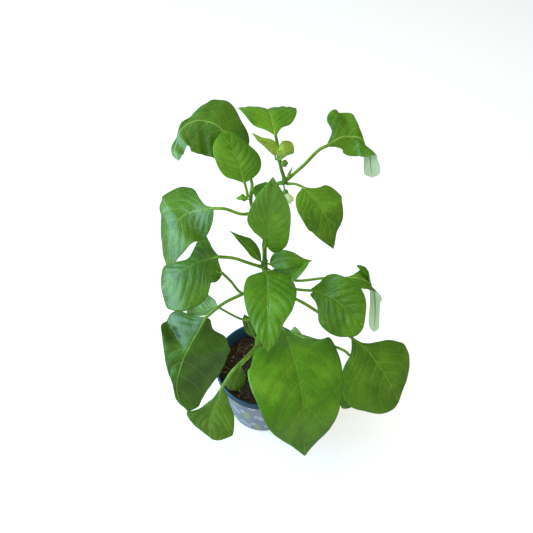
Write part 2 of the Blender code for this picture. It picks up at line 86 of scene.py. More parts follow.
# Leaves. joint: where the stalk leaves the stem. stalk: on from there to the foot of the blade.
# rib: the midrib, on from there to the tip. across: from the midrib to the first margin, foot to tip.
# first, second: the two margins, or both where they match, as (share of the rib, width) or
# (share, width, how far the margin sweeps back). thick: radius of the stalk. fold: degrees each
# half lifts. droop: how far the margins hang, as a share of the width. wave: height of the
# margin's waves, how many, where they start. quilt: height of the pads between the veins.
PLAIN = dict(fold=8, droop=0.15, wave=(1.2, 2, 0.2), thick=1.3, quilt=0.8)
LEAVES = {
    "leaf_front_large": dict(
        joint=(0, 0, 207), stalk=[(9, -13, 220), (24, -26, 224)],
        rib=[(30, -58, 237), (35, -78, 236), (39, -103, 235), (41, -122, 223),
             (42, -134, 196), (44, -142, 166)],
        across=[(-0.96, -0.19, 0.22)],
        first=[(0.08, 15, -5), (0.24, 42), (0.36, 52), (0.6, 44, 6), (0.78, 30, 7), (0.9, 13, 4)],
        second=[(0.08, 11, 1), (0.22, 41, 16), (0.35, 48, 16), (0.56, 44, 8), (0.8, 26, 1),
                (0.92, 10)],
        wave=(2.5, 2.5, 0.3), thick=1.8, quilt=0.9),
    "leaf_left_lower_large": dict(
        joint=(2, 1, 268), stalk=[(-21, -10, 265), (-39, -18, 261), (-58, -25, 246)],
        rib=[(-66, -38, 239), (-74, -50, 231), (-80, -60, 224), (-86, -68, 209),
             (-90, -77, 193), (-89, -85, 176), (-80, -92, 162)],
        across=[(-0.9, -0.12, -0.05)],
        first=[(0.08, 13, 4), (0.15, 24, 11), (0.24, 36, 16), (0.34, 39, 16), (0.46, 28, 18),
               (0.6, 18, 13), (0.78, 4, 11), (0.92, 2, 4)],
        second=[(0.06, 5, 7), (0.15, 12, 11), (0.3, 33, 24), (0.45, 52, 11), (0.56, 51, 3),
                (0.68, 45, -6), (0.8, 31, -12), (0.9, 14, -15)],
        fold=-18, droop=0.2, wave=(1.4, 2.5, 0.1), thick=1.7, quilt=0.9),
    "leaf_right_lower": dict(
        joint=(2, 0, 261), stalk=[(18, -14, 270), (35, -24, 276), (62, -34, 262), (94, -42, 232)],
        rib=[(102, -47, 228), (110, -52, 224), (117, -58, 218), (124, -67, 212),
             (132, -76, 204), (138, -84, 195), (144, -92, 186)],
        across=[(-0.72, -0.6, -0.1)],
        first=[(0.08, 9, 1), (0.24, 30, 6), (0.36, 42, 2), (0.5, 51, -5), (0.67, 42, -10),
               (0.82, 26, -14), (0.93, 9, -9)],
        second=[(0.08, 3, -4), (0.16, 9, -6), (0.34, 30, -2), (0.46, 39, 2), (0.56, 38, -2),
                (0.78, 22, -4), (0.92, 8, -1)],
        fold=4, thick=1.6, quilt=0.8),
    "leaf_right_middle": dict(
        joint=(2, 0, 272), stalk=[(18, -8, 279), (36, -13, 278), (52, -16, 280)],
        rib=[(61, -21, 281), (70, -28, 284), (78, -34, 282), (87, -41, 279),
             (94, -48, 275), (100, -53, 270)],
        across=[(-0.63, -0.51, -0.56)],
        first=[(0.05, 5, 5), (0.15, 10, 4), (0.32, 24, 4), (0.48, 30, -5), (0.67, 26, -10),
               (0.84, 14, -11), (0.95, 4, -5)],
        second=[(0.04, 1, 6), (0.12, 8, 6), (0.24, 20, 11), (0.4, 23, 9), (0.6, 25, 4),
                (0.78, 16, 1), (0.92, 6)],
        fold=4, thick=1.4, quilt=1.5),
    "leaf_right_behind": dict(
        joint=(2, 2, 266), stalk=[(20, 8, 270), (38, 8, 265), (63, 9, 268)],
        rib=[(77, 12, 265), (91, 12, 266), (102, 10, 267), (112, 8, 263),
             (120, 6, 250), (124, 4, 230), (127, 2, 206), (130, 0, 177)],
        across=[(0, -0.8, -0.5), (0, -0.8, -0.5), (0.7, -0.6, -0.2), (1, -0.15, 0),
                (1, -0.1, 0)],
        first=[(0.1, 5, 4), (0.24, 10, 9), (0.36, 14, 8), (0.5, 9, -6), (0.62, 6, 4),
               (0.8, 5, 3), (0.93, 5, -2)],
        second=[(0.24, 3), (0.33, 12, 6), (0.42, 8, 30), (0.5, 5, 38), (0.6, 6, 33),
                (0.74, 6, 21), (0.88, 7, 9), (0.95, 5, 1)],
        fold=4, thick=1.4, quilt=0.1),
    "leaf_right_under": dict(
        joint=(-3, 0, 176), stalk=[(30, -14, 199), (83, -36, 202), (97, -40, 192)],
        rib=[(106, -50, 187), (116, -60, 176), (127, -68, 158)],
        across=[(-0.7, -0.65, 0.1)],
        first=[(0.06, 12), (0.24, 28), (0.45, 45, 2), (0.56, 47), (0.75, 28, -3), (0.9, 12, -2)],
        second=[(0.06, 6), (0.34, 18, -2), (0.56, 20, -7), (0.78, 16, -13), (0.9, 9, -8)],
        thick=1.5),
    "leaf_left_low": dict(
        joint=(-5, 0, 152), stalk=[(-19, -26, 163), (-35, -40, 155), (-47, -52, 139)],
        rib=[(-53, -62, 131), (-57, -71, 124), (-61, -80, 116), (-62, -89, 109),
             (-61, -96, 101)],
        across=[(-0.9, 0.18, 0.19)],
        first=[(0.05, 3, -6), (0.24, 10, -10), (0.36, 18, -11), (0.54, 28, -7), (0.72, 18, -3),
               (0.88, 7)],
        second=[(0.05, 7), (0.24, 18, -1), (0.42, 27, -3), (0.58, 31, -8), (0.7, 28, -13),
                (0.84, 14, -13), (0.95, 3, -6)],
        thick=2.0),
    "leaf_over_pot": dict(
        joint=(-5, 0, 146), stalk=[(-15, -15, 146), (-26, -24, 140)],
        rib=[(-29, -29, 132), (-34, -34, 124), (-38, -41, 111)],
        across=[(-0.8, -0.26, 0.54)],
        first=[(0.05, 4), (0.24, 6), (0.5, 9, 1), (0.8, 8, -1), (0.94, 3, -1)],
        second=[(0.05, 4, -3), (0.2, 11, -4), (0.42, 18, -6), (0.6, 16, -9), (0.78, 11, -10),
                (0.93, 3, -3)],
        thick=0.9),
    "leaf_small_upright": dict(
        joint=(-5, 0, 158), stalk=[(-10, 6, 159)],
        rib=[(-15, 9, 172), (-21, 12, 197)],
        across=[(0.9, 0.3, 0.15)], both=[(0.1, 4), (0.5, 6, -1), (0.8, 4, -1)],
        fold=15, thick=0.9, quilt=0.2),
    "leaf_centre_front": dict(
        joint=(3, 0, 297), stalk=[(5, -9, 303)],
        rib=[(6, -28, 300), (6, -46, 296), (6, -58, 287), (6, -69, 278),
             (6, -76, 262)],
        across=[(-0.98, 0.04, -0.1)],
        first=[(0.06, 9, 4), (0.18, 20, 10), (0.32, 24, 7), (0.5, 21, 2), (0.72, 14, 2),
               (0.9, 6, 1)],
        second=[(0.06, 8, 3), (0.2, 22, 8), (0.36, 28, 7), (0.54, 24, 5), (0.7, 15, 4),
                (0.9, 7, 1)],
        thick=1.4),
    "leaf_left_middle": dict(
        joint=(3, 0, 299), stalk=[(-13, -2, 307), (-27, -1, 313), (-42, 0, 314)],
        rib=[(-52, -2, 313), (-62, -5, 312), (-72, -9, 309), (-82, -13, 305),
             (-91, -18, 298), (-99, -22, 289)],
        across=[(-0.34, 0.92, 0.14)],
        first=[(0.08, 13, 1), (0.15, 23, 5), (0.24, 36, 10), (0.34, 28, 11), (0.55, 10, 7),
               (0.66, 14, 4), (0.78, 21, -1), (0.9, 13, -4)],
        second=[(0.08, 9, 1), (0.24, 24, 2), (0.4, 35, -2), (0.56, 38, -8), (0.67, 34, -15),
                (0.8, 21, -18), (0.93, 7, -8)],
        fold=-4, wave=(2, 1.5, 0.1), thick=1.6, quilt=0.4),
    "leaf_left_behind": dict(
        joint=(1, 1, 248), stalk=[(-22, 8, 243), (-33, 9, 263), (-41, 8, 278)],
        rib=[(-52, 9, 280), (-64, 7, 280), (-76, 4, 272), (-86, 1, 258)],
        across=[(-0.2, 0.95, 0.1)],
        first=[(0.04, 9, -2), (0.22, 18, 2), (0.45, 15, 3), (0.66, 15), (0.85, 6)],
        second=[(0.04, 8, 1), (0.24, 14, 1), (0.52, 21, 2), (0.78, 14, -1), (0.93, 5)],
        thick=1.5),
    "leaf_left_pale": dict(
        joint=(-1, 1, 204), stalk=[(-23, 4, 198), (-49, 4, 222)],
        rib=[(-57, 3, 221), (-66, 0, 220), (-75, -3, 219), (-83, -6, 224)],
        across=[(-0.2, 0.9, 0.3)],
        first=[(0.05, 5, 1), (0.2, 13, 3), (0.4, 20, 6), (0.66, 20), (0.85, 10, -2)],
        second=[(0.08, 3, -3), (0.5, 5, -3), (0.85, 2, -1)]),
    "leaf_left_upper": dict(
        joint=(-8, 2, 373), stalk=[(-19, -2, 376), (-31, -1, 381), (-42, 0, 381)],
        rib=[(-52, 2, 378), (-61, 3, 374), (-70, 1, 371), (-76, -5, 368),
             (-80, -12, 363), (-84, -20, 354), (-86, -32, 339)],
        across=[(-0.3, 0.92, 0.2)],
        first=[(0.06, 4, -4), (0.15, 17, -7), (0.25, 33, -8), (0.36, 37, 2), (0.5, 34, 13),
               (0.68, 35, 7), (0.8, 35, 1), (0.9, 26, -2), (0.96, 11, -1)],
        second=[(0.06, 6, 5), (0.2, 17, 11), (0.34, 27, 6), (0.45, 28, -3), (0.6, 22, -5),
                (0.8, 15, -5), (0.93, 8, -3)],
        fold=-6, thick=1.4, quilt=0.4),
    "leaf_left_sprig": dict(
        joint=(-9, 1, 391), stalk=[(-11.5, 0.5, 392)],
        rib=[(-16, 0, 394), (-22, -1, 394)],
        across=[(-0.1, 0.9, 0.4)], both=[(0.15, 2.2), (0.38, 3.2), (0.6, 2.6), (0.85, 1)],
        thick=0.6, quilt=0.1),
    "leaf_centre_upper": dict(
        joint=(3, 1, 331), stalk=[(4, -6, 343)],
        rib=[(6, -11, 366), (7, -15, 389), (8, -17, 408), (9, -16, 422),
             (10, -14, 431)],
        across=[(1, 0.09, -0.03)],
        first=[(0.03, 2, 11), (0.08, 6, 25), (0.15, 13, 38), (0.25, 19, 37), (0.45, 20, 16),
               (0.6, 19, 7), (0.8, 11, -1), (0.93, 4, -1)],
        second=[(0.08, 6, -2), (0.2, 14, -3), (0.36, 19, -7), (0.5, 17, -12), (0.67, 12, -10),
                (0.88, 4, -4)]),
    "leaf_centre_behind": dict(
        joint=(-3, 4, 358), stalk=[(-2, 10, 380)],
        rib=[(0, 12, 386), (2, 14, 391), (4, 17, 397)],
        across=[(0.95, 0.1, 0)],
        first=[(0.08, 2), (0.3, 6), (0.5, 7, -1), (0.8, 4, -3)],
        second=[(0.08, 3), (0.3, 7), (0.5, 9, -2), (0.8, 4, -1)],
        thick=0.9, quilt=0.2),
    "leaf_top_young": dict(
        joint=(-9, 2, 394), stalk=[(-12, 2, 399), (-14, 5, 407)],
        rib=[(-17, 11, 414), (-20, 17, 420), (-24, 24, 427), (-27, 30, 434),
             (-30, 34, 440)],
        across=[(0.85, 0.35, -0.1)],
        first=[(0.08, 7, 3), (0.22, 17, 5), (0.36, 21, 4), (0.6, 17, 1), (0.85, 7, -1)],
        second=[(0.08, 6), (0.25, 14, 2), (0.48, 18, -1), (0.67, 16, -4), (0.86, 8, -4)],
        fold=6, thick=1.2),
    "leaf_top_left": dict(
        joint=(-8, 3, 397), stalk=[(-8, 13, 399), (-12, 23, 404), (-18, 30, 413)],
        rib=[(-25, 36, 424), (-33, 41, 434), (-40, 44, 439), (-47, 46, 440),
             (-53, 46, 441), (-59, 45, 440), (-65, 42, 438), (-70, 37, 435), (-72, 30, 430),
             (-73, 22, 427), (-69, 12, 425)],
        across=[(0.5, 0.7, 0.45), (0.3, 0.82, 0.42), (-0.6, 0.65, -0.1)],
        first=[(0.04, 11, 1), (0.14, 21, 3), (0.26, 24, 2), (0.38, 27, 4), (0.46, 25, 7),
               (0.56, 16, 13), (0.67, 4, 13), (0.8, 2, 9), (0.94, 4, 5)],
        second=[(0.04, 5, 3), (0.15, 11, 11), (0.26, 17, 15), (0.44, 28, 8), (0.55, 28, -3),
                (0.66, 20, -9), (0.78, 10, -6), (0.9, 7, -5)],
        fold=-10, thick=1.4, quilt=0.12),
    "leaf_top_back": dict(
        joint=(15, 1, 437.5), stalk=[(14, 7, 445), (12, 8, 455)],
        rib=[(10, 20, 457), (8, 32, 458), (6, 44, 454), (5, 58, 443), (4, 70, 428)],
        across=[(0.98, 0.13, -0.08)],
        first=[(0.08, 5), (0.24, 15, 6), (0.42, 22, 8), (0.56, 24, -5), (0.68, 20, -17),
               (0.8, 13, -19), (0.92, 5, -8)],
        second=[(0.08, 5, 2), (0.24, 13, 8), (0.38, 20, 14), (0.52, 25, 4), (0.67, 23, -1),
                (0.85, 12, -4)],
        thick=1.2),
    "leaf_top_right": dict(
        joint=(20, 1, 413.5), stalk=[(36, 10, 422), (48, 17, 432), (56, 20, 435)],
        rib=[(62, 22, 439), (68, 24, 441), (75, 25, 440), (82, 24, 440),
             (88, 20, 435), (91, 15, 429), (93, 11, 420), (95, 8, 410)],
        across=[(0, -0.7, -0.7), (0, -0.7, -0.7), (0.3, -0.8, -0.5), (0.9, -0.3, -0.1),
                (0.95, -0.25, 0)],
        first=[(0.08, 4, 2), (0.24, 13, 1), (0.36, 16, -2), (0.5, 11, -9), (0.62, 6, -8),
               (0.78, 8, -5), (0.9, 6, -4)],
        second=[(0.08, 7, -3), (0.24, 22, 9), (0.34, 22, 12), (0.5, 10, 17), (0.62, 4, 12),
                (0.78, 5, 6), (0.92, 6, -1)],
        fold=0, thick=1.4, quilt=0.12),
    "leaf_right_upper": dict(
        joint=(20, 1, 411), stalk=[(29, -2, 412), (36, -4, 410)],
        rib=[(42, -12, 408), (48, -19, 405), (52, -26, 403), (56, -32, 397),
             (58, -40, 389), (61, -46, 379)],
        across=[(-0.85, -0.52, 0.08)],
        first=[(0.06, 6, 2), (0.24, 17, 5), (0.44, 22), (0.67, 16, -3), (0.88, 6)],
        second=[(0.06, 5), (0.24, 20, 5), (0.36, 24, 6), (0.56, 18, 2), (0.8, 8, 2),
                (0.93, 3, 1)],
        thick=1.1),
    "leaf_centre_narrow": dict(
        joint=(3, 0, 304.2), stalk=[(-1, 2, 305)],
        rib=[(-8, 4, 316), (-18, 6, 329), (-25, 8, 337), (-31, 9, 342)],
        across=[(0.59, 0.74, 0.33)],
        first=[(0.08, 4, -1), (0.34, 8, -1), (0.5, 8, -2), (0.67, 5, -1), (0.82, 2)],
        second=[(0.1, 4, -2), (0.4, 4.5, -2), (0.67, 3, -2), (0.9, 1)],
        fold=25, thick=0.9, quilt=0.2),
    "leaf_centre_right": dict(
        joint=(3, 0, 304.5), stalk=[(8, -2, 305)],
        rib=[(16, -3, 313), (25, -4, 317), (34, -5, 317), (42, -5, 315),
             (50, -5, 314)],
        across=[(0, -0.8, -0.6)],
        first=[(0.08, 6), (0.36, 11, -1), (0.6, 9, -3), (0.85, 3, -1)],
        second=[(0.08, 5), (0.28, 9), (0.56, 6), (0.8, 2, 1)],
        thick=0.9, quilt=0.4),
    "leaf_centre_right_low": dict(
        joint=(3, 0, 295.5), stalk=[(10, -2, 294)],
        rib=[(19, -5, 296), (28, -8, 302), (37, -10, 310), (46, -11, 319)],
        across=[(-0.4, -0.8, -0.4)],
        first=[(0.08, 4), (0.26, 8, -1), (0.48, 14, -4), (0.7, 9, -2), (0.9, 4, -2)],
        second=[(0.08, 4), (0.34, 9, 3), (0.7, 10, 2), (0.88, 5, 1)],
        thick=1.0, quilt=0.4),
    "leaf_right_low_pale": dict(
        joint=(-5, 0, 163), stalk=[(8, -2, 168), (19, -3, 171)],
        rib=[(27, -4, 177), (34, -5, 186), (37, -6, 199)],
        across=[(0.6, -0.5, -0.6)],
        first=[(0.05, 4), (0.24, 10, 1), (0.6, 13, -3), (0.85, 6, -4)],
        second=[(0.08, 2, -3), (0.5, 2), (0.9, 1)],
        thick=1.0, quilt=0.2),
    "leaf_bud_folded": dict(
        joint=(15, 1, 436.5), stalk=[(12, 1, 440)],
        rib=[(6, 2, 448), (-1, 3, 454), (-7, 5, 460)],
        across=[(0.6, 0.6, 0.4)],
        first=[(0.06, 4), (0.22, 8), (0.42, 7), (0.65, 4), (0.85, 1.8)],
        second=[(0.1, 1.5), (0.4, 2.2), (0.7, 1.5)],
        fold=30, thick=0.7, quilt=0.3),
    "leaf_bud_curled": dict(
        joint=(15, 1, 438), stalk=[(17, -3, 440)],
        rib=[(19.5, -4, 445), (20, -2, 450), (17, 1, 455)],
        across=[(1, 0.1, 0.2)], both=[(0.06, 4), (0.25, 6.6), (0.5, 7.4), (0.75, 6.2), (0.92, 3)],
        fold=-24, thick=0.7, quilt=0.6),
    "leaf_awl": dict(
        joint=(18.5, 1, 411), stalk=[(22, 2, 413)],
        rib=[(24, 4, 418), (27, 7, 424)],
        across=[(1, 0, 0)], both=[(0.1, 0.7), (0.4, 1.3), (0.75, 0.7)],
        fold=10, thick=0.6, quilt=0.1),
}

# buds and flower: centre line and radius at each point
TOP_BUD_JOINT = (16, 1, 433)
TOP_BUD = [((17.9, -1.4, 434.8), 0.9), ((18.6, -2.6, 435.4), 2.4), ((19.6, -4, 436), 2.9),
           ((20.4, -5.4, 436.4), 1.6)]
FLOWER_JOINT = (18.5, 2, 410)
FLOWER_CUP = [((20, -2.8, 407), 0.8), ((20.6, -3.6, 405.4), 2.2), ((21, -4.2, 404), 2.4)]
FLOWER_PETALS = [((21.2, -4.5, 403.4), 2.2), ((22.2, -5.2, 401), 3.4), ((23.8, -6, 397.8), 4),
                 ((25, -6.6, 395.5), 3)]


def vec(v):
    """A point or a direction as an array."""
    return np.array(v, float)


def unit(v):
    """The same direction, one unit long."""
    return v / np.linalg.norm(v)


def ease(x):
    """0 to 1, leaving and arriving gently."""
    x = np.clip(x, 0, 1)
    return x * x * (3 - 2 * x)


SPAN_STEPS = 12         # short steps from one given point of a curve to the next


def smooth(points, fractions):
    """Points on a smooth curve through the given points, at fractions of its length."""
    pts = [vec(p) for p in points]
    pts = [2 * pts[0] - pts[1]] + pts + [2 * pts[-1] - pts[-2]]
    fine = []
    for i in range(1, len(pts) - 2):
        a, b, c, d = pts[i - 1:i + 3]
        for t in np.arange(SPAN_STEPS) / SPAN_STEPS:
            fine.append(b + 0.5 * t * (c - a) + t * t * (a - 2.5 * b + 2 * c - 0.5 * d)
                        + t ** 3 * (1.5 * b - 1.5 * c + 0.5 * d - 0.5 * a))
    fine = np.array(fine + [pts[-2]])
    run = np.r_[0, np.cumsum(np.linalg.norm(np.diff(fine, axis=0), axis=1))]
    want = np.asarray(fractions) * run[-1]
    return np.stack([np.interp(want, run, fine[:, k]) for k in range(fine.shape[1])], 1)


def along(path):
    """Unit direction of a run of points at each of them."""
    return np.array([unit(v) for v in np.gradient(path, axis=0)])


# the two shoots as fine runs of (x, y, z, radius)
SHOOTS = [smooth([(*p, r) for p, r in shoot], np.linspace(0, 1, rows))
          for shoot, rows in ((MAIN_STEM, MAIN_ROWS), (LEFT_FORK, FORK_ROWS))]


def stem_exit(joint, towards):
    """Where a stalk starts, inside the stem beside `joint`, and the way it leaves."""
    line = min(SHOOTS, key=lambda s: np.min(np.linalg.norm(s[:, :3] - joint, axis=1)))
    i = int(np.argmin(np.linalg.norm(line[:, :3] - joint, axis=1)))
    axis = along(line[:, :3])[i]
    out = vec(towards) - line[i, :3]
    out = unit(out - axis * (out @ axis))
    return line[i, :3] + out * line[i, 3] * 0.5, out


# ---- meshes

MERGE = 1e-3            # corners closer than this become one
TUBE_MERGE = 1e-4


def finish_piece(bm, name, materials, node=None, smooth_faces=True):
    """Turns a bmesh in millimetres into a piece of the plant."""
    bmesh.ops.scale(bm, vec=(MM, MM, MM), verts=bm.verts)
    for face in bm.faces:
        face.smooth = smooth_faces
    mesh = bpy.data.meshes.new(name)
    bm.to_mesh(mesh)
    bm.free()
    for mat in materials:
        mesh.materials.append(mat)
    obj = bpy.data.objects.new(name, mesh)
    bpy.context.scene.collection.objects.link(obj)
    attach(obj, "root")
    if node:
        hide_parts(node)


def sheet_of(bm, spots, layers=None, material=0, turn_over=None):
    """A sheet of cells in bm whose corners stand on the array `spots` (rows, columns, 3).

    Cells past column turn_over take the next material.
    """
    rows, columns = spots.shape[0] - 1, spots.shape[1] - 1
    made = bmesh.ops.create_grid(bm, x_segments=columns, y_segments=rows, size=1)["verts"]
    keys = {name: bm.verts.layers.float_vector[name] for name in layers or ()}
    for face in {f for v in made for f in v.link_faces}:
        column = (face.calc_center_median().x + 1) / 2 * columns
        face.material_index = material + (turn_over is not None and column > turn_over)
    for vert in made:
        i = round((vert.co.y + 1) / 2 * rows)
        j = round((vert.co.x + 1) / 2 * columns)
        vert.co = spots[i, j]
        for name, key in keys.items():
            vert[key] = layers[name][i, j]
    return made


def tube_of(bm, line, sides, shape=None, material=0, up=None):
    """A closed tube along rows of (x, y, z, radius); shape(angle, share) varies the radius."""
    heading = along(line[:, :3])
    side = unit(np.cross(heading[0], vec((0, 1, 0.01)) if up is None else up[0]))
    turn = np.linspace(0, 2 * math.pi, sides + 1)
    spots = np.zeros((len(line) + 2, sides + 1, 3))
    for i, ((x, y, z, r), way) in enumerate(zip(line, heading)):
        if up is not None:
            side = np.cross(way, up[i])
        side = unit(side - way * (side @ way))
        top = np.cross(side, way)
        for j, a in enumerate(turn):
            reach = r * (shape(a, i / (len(line) - 1)) if shape else 1)
            spots[i + 1, j] = vec((x, y, z)) + reach * (math.cos(a) * side + math.sin(a) * top)
    spots[0], spots[-1] = line[0, :3], line[-1, :3]
    bmesh.ops.remove_doubles(bm, verts=sheet_of(bm, spots, material=material), dist=TUBE_MERGE)


# ---- leaves

SMALL = 15              # blades narrower than this to each side get fewer cells
SMALL_CELLS, LARGE_CELLS = (32, 20), (72, 44)
END_CROWDING = 0.45     # how far rows draw together towards the foot and the tip
COLUMN_CROWDING = 0.92  # under 1: columns draw together towards the margin
# side veins: where each starts on the midrib, as a share of it, and its running number
VEIN_STARTS = [-0.45, -0.22, -0.06, 0.06, 0.16, 0.28, 0.42, 0.57, 0.73, 0.9, 1.1]
VEIN_NUMBERS = range(-3, 8)
VEIN_SPACING = 0.13     # from one to the next, as a share of the midrib
VEIN_SLANT, VEIN_CURL = 0.32, 0.12  # how far up the blade they run, and curl on towards the tip
VEIN_STAGGER = 0.02     # the two halves' veins don't leave the midrib together
CREASE_DEPTH, CREASE_WIDTH = 0.6, 1.6
LUMP_SCALE = 0.11       # noise steps to a millimetre
MARGIN_SKIN = 0.1       # thickness of the blade at its margin
TUBE_SIDES = 14
STALK_FOOT = [1.45, 1.3, 1.12]  # the first rows of a stalk flare out by these
GROOVE = 0.2            # depth of the groove along a stalk, as a share of its radius


def through(stops, values, wanted):
    """Values on a smooth curve through (stop, value) points that doesn't overshoot them."""
    x, y = np.asarray(stops, float), np.asarray(values, float)
    gap = np.diff(x)
    slope = np.diff(y) / gap
    middle = (slope[1:] * gap[:-1] + slope[:-1] * gap[1:]) / (gap[1:] + gap[:-1])
    tangent = np.r_[slope[0], middle, slope[-1]]
    turns = np.r_[False, slope[1:] * slope[:-1] <= 0, False]
    tangent[turns] *= 0.35
    k = np.clip(np.searchsorted(x, wanted) - 1, 0, len(x) - 2)
    h = x[k + 1] - x[k]
    s = (wanted - x[k]) / h
    return ((1 + 2 * s) * (1 - s) ** 2 * y[k] + s * (1 - s) ** 2 * h * tangent[k]
            + s * s * (3 - 2 * s) * y[k + 1] + s * s * (s - 1) * h * tangent[k + 1])


def leaf_frame(leaf, stops):
    """Path from inside the stem to the tip, and the side and top at each of its points.

    Also its directions, and how many points come before the blade.
    """
    start, out = stem_exit(vec(leaf["joint"]), leaf["stalk"][0])
    stalk_pts = [start, start + out * (leaf["thick"] + 1.5)] + [vec(p) for p in leaf["stalk"]]
    length = sum(np.linalg.norm(b - a) for a, b in zip(stalk_pts, stalk_pts[1:]))
    stalk = smooth(stalk_pts, np.linspace(0, 1, max(6, int(length / 2.5)) + 1))[:-1]
    path = np.vstack([stalk, smooth([leaf["stalk"][-1], *leaf["rib"]], stops)])
    heading = along(path)
    heading[0] = out
    share = np.r_[np.zeros(len(stalk)), stops]
    across = np.array(leaf["across"], float)
    if len(across) > 1:
        stations = np.linspace(0, 1, len(across))
        side = np.stack([np.interp(share, stations, across[:, k]) for k in range(3)], 1)
    else:
        side = np.tile(across, (len(path), 1))
    side -= heading * np.sum(side * heading, 1, keepdims=True)
    side /= np.linalg.norm(side, axis=1, keepdims=True)
    return path, heading, side, np.cross(side, heading), len(stalk)


def half_blade(leaf, half, margin, v, stops, blade):
    """One half of a blade over its columns v, which run from the midrib (0) to the margin.

    Gives its points, its places in mm, its vein numbers and the height of its pads.
    """
    rib, heading, side, top, length = blade
    shares, widths, sweeps = zip(*margin)
    full = max(widths)
    w, back = through(shares, widths, stops)[:, None], through(shares, sweeps, stops)[:, None]
    v, t = v[None, :], stops[:, None]
    out = np.abs(v)
    height, count, begin = leaf["wave"]
    tilt = math.radians(leaf["fold"])
    ripple = height * out ** 1.5 * w / full * np.sin(
        2 * math.pi * (count * t + begin) + (0.9, 0)[half])
    lift = out * w * math.sin(tilt) - leaf["droop"] * w * out * out + ripple
    shape = (rib[:, None] + side[:, None] * (v * w * math.cos(tilt))[..., None]
             + top[:, None] * lift[..., None] - heading[:, None] * (back * out ** 1.5)[..., None])
    slant = (VEIN_SLANT * out + VEIN_CURL * out * out) * (1 - 0.3 * t)
    number = np.interp(t - slant - (VEIN_STAGGER, 0)[half], VEIN_STARTS, VEIN_NUMBERS)
    place = np.stack([v * w, t * length + 0 * v, t + 0 * v], -1)
    vein = np.stack([number, 0 * number + VEIN_SPACING * length, out + 0 * t], -1)
    pads = 0.5 - 0.5 * np.cos(2 * math.pi * number)
    fade = np.minimum(1, 3.2 * out) * np.minimum(1, 4 * (1 - out)) * np.sin(math.pi * t) ** 0.5
    crease = -CREASE_DEPTH * np.exp(-(v * np.maximum(w, 1) / CREASE_WIDTH) ** 2) * np.minimum(
        1, 8 * (1 - t))
    return shape, place, vein, leaf["quilt"] * (pads * fade + crease)


def stalk_and_rib(bm, leaf, path, top, stops):
    """The stalk, grooved above, running on as a ridge under the blade and thinning to the tip."""
    foot = len(path) - len(stops)
    share = np.r_[np.zeros(foot), stops]
    line = np.column_stack([path, np.full(len(path), leaf["thick"])])
    line[:, 3] *= (1 - ease(share / 0.25) * 0.45) * (1 - 0.75 * share) + 0.02
    line[:len(STALK_FOOT), 3] *= STALK_FOOT
    line[:, :3] -= top * (ease(share / 0.1) * (line[:, 3] * 0.95 + 0.15))[:, None]
    end = int(np.searchsorted(share, 0.93))
    groove = ease(1 - share * 8)

    def grooved(a, s):
        depth = GROOVE * groove[min(int(s * (end - 1)), end - 1)]
        return 1 - depth * math.exp(-((a - math.pi / 2) / 0.42) ** 2)

    tube_of(bm, line[:end], TUBE_SIDES, grooved, material=2, up=top)


def make_leaf(name, leaf, materials):
    """One leaf: stalk, blade with its waves, quilting between the veins, and the midrib below."""
    leaf = {**PLAIN, **leaf}
    margins = [[(0, 0.9 * leaf["thick"], 0)]
               + [(*point, 0)[:3] for point in leaf.get("both") or leaf[half]] + [(1, 0, 0)]
               for half in ("first", "second")]
    widest = max(point[1] for margin in margins for point in margin)
    rows, columns = SMALL_CELLS if widest < SMALL else LARGE_CELLS
    even = np.linspace(0, 1, rows + 1)
    stops = (1 - END_CROWDING) * even + END_CROWDING * (0.5 - 0.5 * np.cos(np.pi * even))
    path, heading, side, top, foot = leaf_frame(leaf, stops)
    length = np.linalg.norm(np.diff(path[foot:], axis=0), axis=1).sum()
    blade = path[foot:], heading[foot:], side[foot:], top[foot:], length

    u = np.linspace(1, -1, columns + 1)
    u = np.sign(u) * np.abs(u) ** COLUMN_CROWDING
    halves = [half_blade(leaf, half, margins[half], u[picked], stops, blade)
              for half, picked in enumerate((u >= 0, u < 0))]
    spots, place, vein, relief = (np.concatenate(pair, axis=1) for pair in zip(*halves))
    facing = np.cross(np.gradient(spots, axis=0), np.gradient(spots, axis=1))
    facing /= np.linalg.norm(facing, axis=2, keepdims=True) + 1e-9
    if np.sum(facing[rows // 2, columns // 2] * top[foot + rows // 2]) < 0:
        facing = -facing
    lumps = [[noise.noise(Vector(p) * LUMP_SCALE) for p in row] for row in spots]
    relief += 0.5 * leaf["quilt"] * np.array(lumps)
    spots += facing * (relief * np.minimum(1, 6 * stops)[:, None])[..., None]

    # the underside lies one skin below, and thins out to the margin and the tip
    skin = MARGIN_SKIN + (0.12 + 0.012 * widest) * (1 - u * u)[None, :] * np.minimum(
        1, 9 * (1 - stops))[:, None]
    under = spots - facing * skin[..., None]
    wrap = [np.concatenate([a, b[:, ::-1], a[:, :1]], axis=1)
            for a, b in ((spots, under), (place, place), (vein, vein))]
    for ring in wrap:
        ring[-1] = ring[-1].mean(0)
    bm = bmesh.new()
    for key in ("place", "vein"):
        bm.verts.layers.float_vector.new(key)
    sheet_of(bm, wrap[0], {"place": wrap[1], "vein": wrap[2]}, turn_over=columns)
    bmesh.ops.remove_doubles(bm, verts=bm.verts, dist=MERGE)
    bmesh.ops.holes_fill(bm, edges=bm.edges, sides=0)
    bmesh.ops.recalc_face_normals(bm, faces=bm.faces)
    stalk_and_rib(bm, leaf, path, top, stops)
    finish_piece(bm, name, materials, name)


# ---- materials

def tone(code):
    """An sRGB hex colour as linear RGBA."""
    parts = [int(code[k:k + 2], 16) / 255 for k in (1, 3, 5)]
    return tuple(c / 12.92 if c < 0.04045 else ((c + 0.055) / 1.055) ** 2.4 for c in parts) + (1,)


